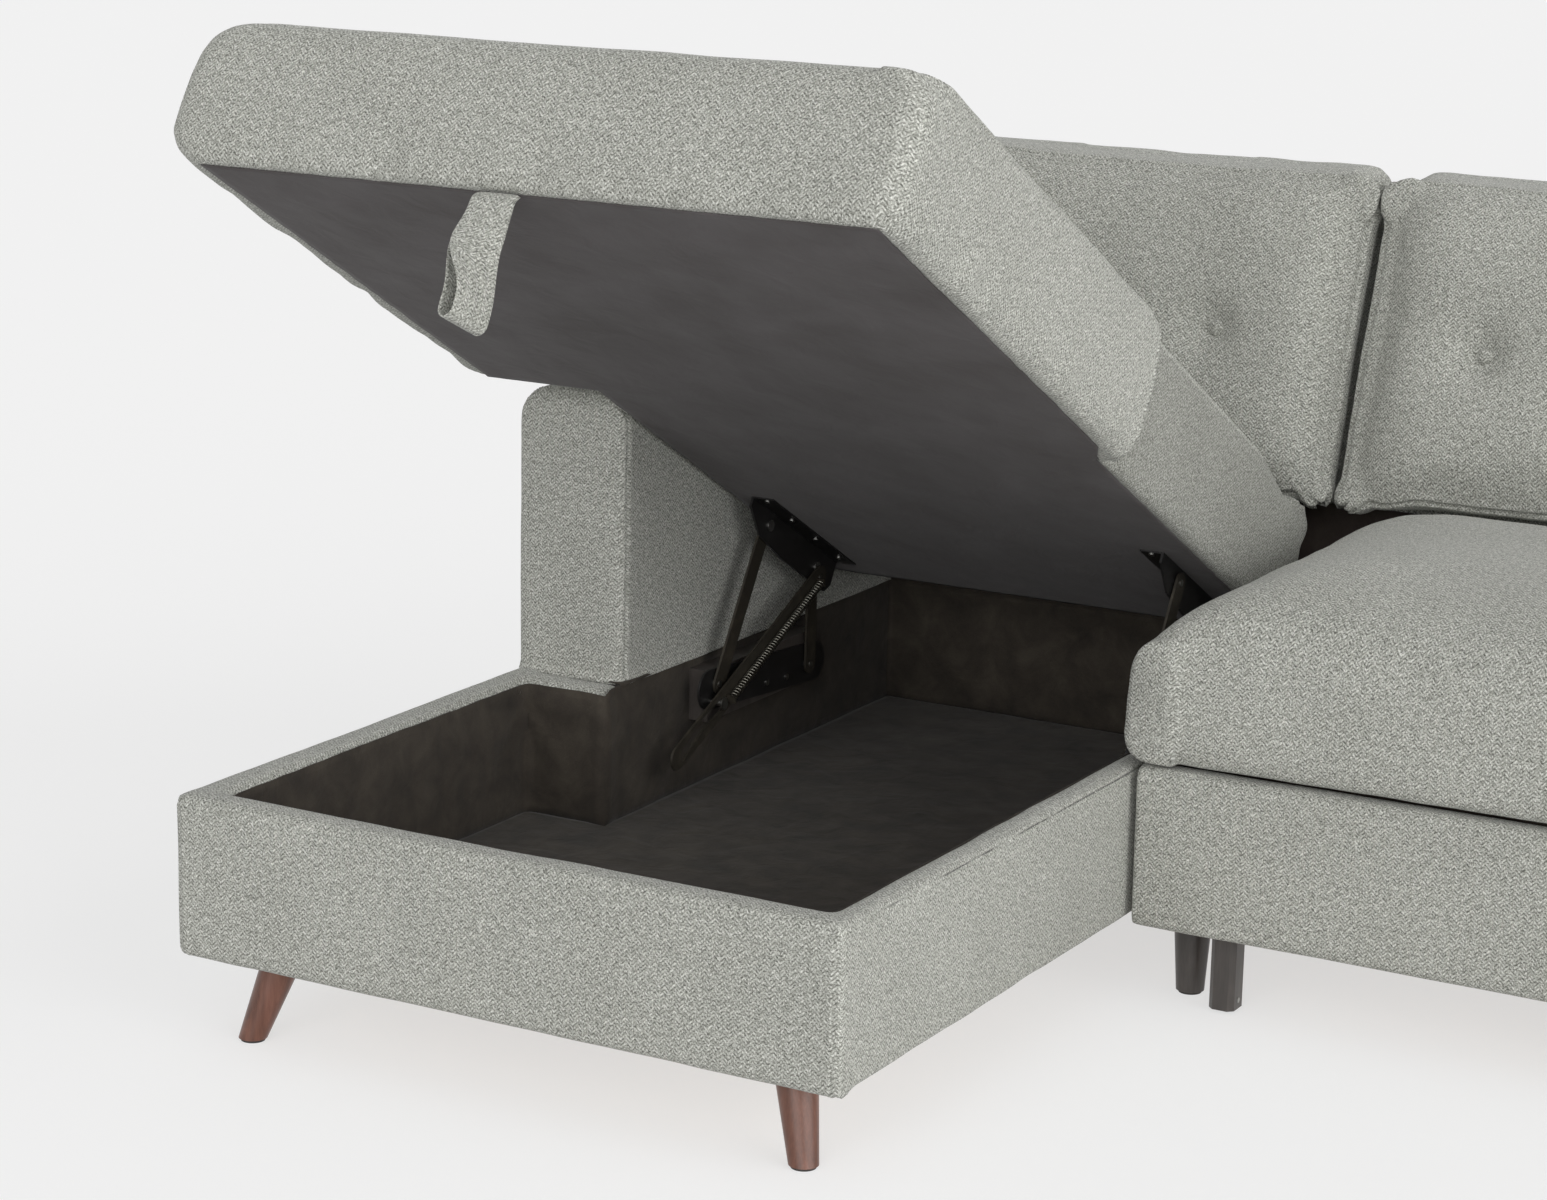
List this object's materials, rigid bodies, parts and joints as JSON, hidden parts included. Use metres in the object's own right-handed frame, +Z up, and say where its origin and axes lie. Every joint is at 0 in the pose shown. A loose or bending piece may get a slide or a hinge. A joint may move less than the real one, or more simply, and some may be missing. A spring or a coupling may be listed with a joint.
{
  "type": "corner sofa bed",
  "caption": "Corner sofa bed with a storage chaise under a lift-up seat, loose tufted back cushions and a pull-out bed section on rollers.",
  "frame": {"origin": "on the floor in the middle of the footprint at rest, the chaise seat open and the bed section pushed in", "axes": "+X to the right as seen from the front, +Y to the back, +Z up"},
  "size_m": [2.254, 1.5696, 1.0659],
  "materials": {
    "upholstery": "heathered grey weave",
    "timber": "raw plywood and softwood",
    "lining": "dark brown felt-like lining",
    "dust_cover": "charcoal non-woven sheet",
    "walnut": "walnut stain, satin",
    "black_wood": "black stain, satin",
    "black_steel": "black, semi-matt",
    "link_steel": "dark bronze, semi-matt",
    "spring_steel": "bright wire",
    "zinc": "zinc",
    "glide_plastic": "matt",
    "roller_plastic": "matt"
  },
  "bodies": {
    "frame": {"chaise_front_cover": "upholstery", "chaise_left_cover": "upholstery", "chaise_right_cover": "upholstery", "chaise_return_cover": "upholstery", "left_arm_cover": "upholstery", "right_arm_cover": "upholstery", "back_cover": "upholstery", "back_cushion_left": "upholstery", "back_cushion_middle": "upholstery", "back_cushion_right": "upholstery", "tuft_buttons": "upholstery", "seat_cushion": "upholstery", "chaise_wall_boards": "timber", "chaise_inner_board": "timber", "chaise_rear_board": "timber", "arm_boards": "timber", "back_boards": "timber", "seat_deck": "timber", "deck_rails": "timber", "seat_side_boards": "timber", "seat_rear_rail": "timber", "runner_rails": "timber", "floor_battens": "timber", "corner_blocks": "timber", "bracket_blocks": "timber", "storage_floor": "timber", "storage_lining": "lining", "back_gap_panel": "lining", "walnut_legs": "walnut", "black_legs": "black_wood", "base_brackets": "black_steel", "leg_plates": "black_steel", "sectional_brackets": "black_steel", "base_fasteners": "zinc", "leg_glides": "glide_plastic"},
    "front_links": {"left_front_link": "link_steel", "right_front_link": "link_steel"},
    "lid": {"lid_cushion_front": "upholstery", "lid_cushion_rear": "upholstery", "lid_panel": "timber", "lid_dust_cover": "dust_cover", "pull_strap": "upholstery", "upper_brackets": "black_steel", "upper_fasteners": "zinc"},
    "rear_links": {"left_rear_link": "link_steel", "right_rear_link": "link_steel"},
    "stays": {"left_stay": "link_steel", "right_stay": "link_steel", "left_spring": "spring_steel", "right_spring": "spring_steel"},
    "pullout": {"pullout_front_cover": "upholstery", "pullout_front_board": "timber", "pullout_tray": "timber", "bed_platform": "timber", "bed_cushion": "upholstery", "folding_arms": "black_steel", "pullout_posts": "black_wood", "roller_axles": "zinc"},
    "front_rollers": {"front_rollers": "roller_plastic"},
    "rear_rollers": {"rear_rollers": "roller_plastic"}
  },
  "joints": [
    {"name": "front_link_swing", "type": "hinge", "parent": "frame", "child": "front_links", "pos_m": [0, 0.0742, 0.24367], "axis": [1, 0, 0], "range_deg": [-54.52, 0], "stiffness_Nm_per_rad": 75, "springref_deg": 114.59},
    {"name": "lid_tilt", "type": "hinge", "parent": "front_links", "child": "lid", "pos_m": [0, 0.18261, 0.42131], "axis": [-1, 0, 0], "range_deg": [-83.73, 0]},
    {"name": "rear_link_swing", "type": "hinge", "parent": "frame", "child": "rear_links", "pos_m": [0, 0.3019, 0.22048], "axis": [1, 0, 0], "range_deg": [-74.83, 0]},
    {"name": "stay_swing", "type": "hinge", "parent": "lid", "child": "stays", "pos_m": [0, 0.30414, 0.33335], "axis": [1, 0, 0], "range_deg": [-51.32, 0]},
    {"name": "pull_out_slide", "type": "slide", "parent": "frame", "child": "pullout", "axis": [0, -1, 0], "range_m": [0, 0.54]},
    {"name": "front_roller_spin", "type": "hinge", "parent": "pullout", "child": "front_rollers", "pos_m": [0, -0.03821, 0.014], "axis": [1, 0, 0], "continuous": true},
    {"name": "rear_roller_spin", "type": "hinge", "parent": "pullout", "child": "rear_rollers", "pos_m": [0, 0.53979, 0.127], "axis": [1, 0, 0], "continuous": true}
  ],
  "couplings": [
    {"joint": "lid_tilt", "follows": "front_link_swing", "ratio": 1.5356},
    {"joint": "rear_link_swing", "follows": "front_link_swing", "ratio": 1.3723},
    {"joint": "stay_swing", "follows": "front_link_swing", "ratio": 0.94115},
    {"joint": "front_roller_spin", "follows": "pull_out_slide", "rad_per_m": 71.429},
    {"joint": "rear_roller_spin", "follows": "pull_out_slide", "rad_per_m": 66.667}
  ]
}
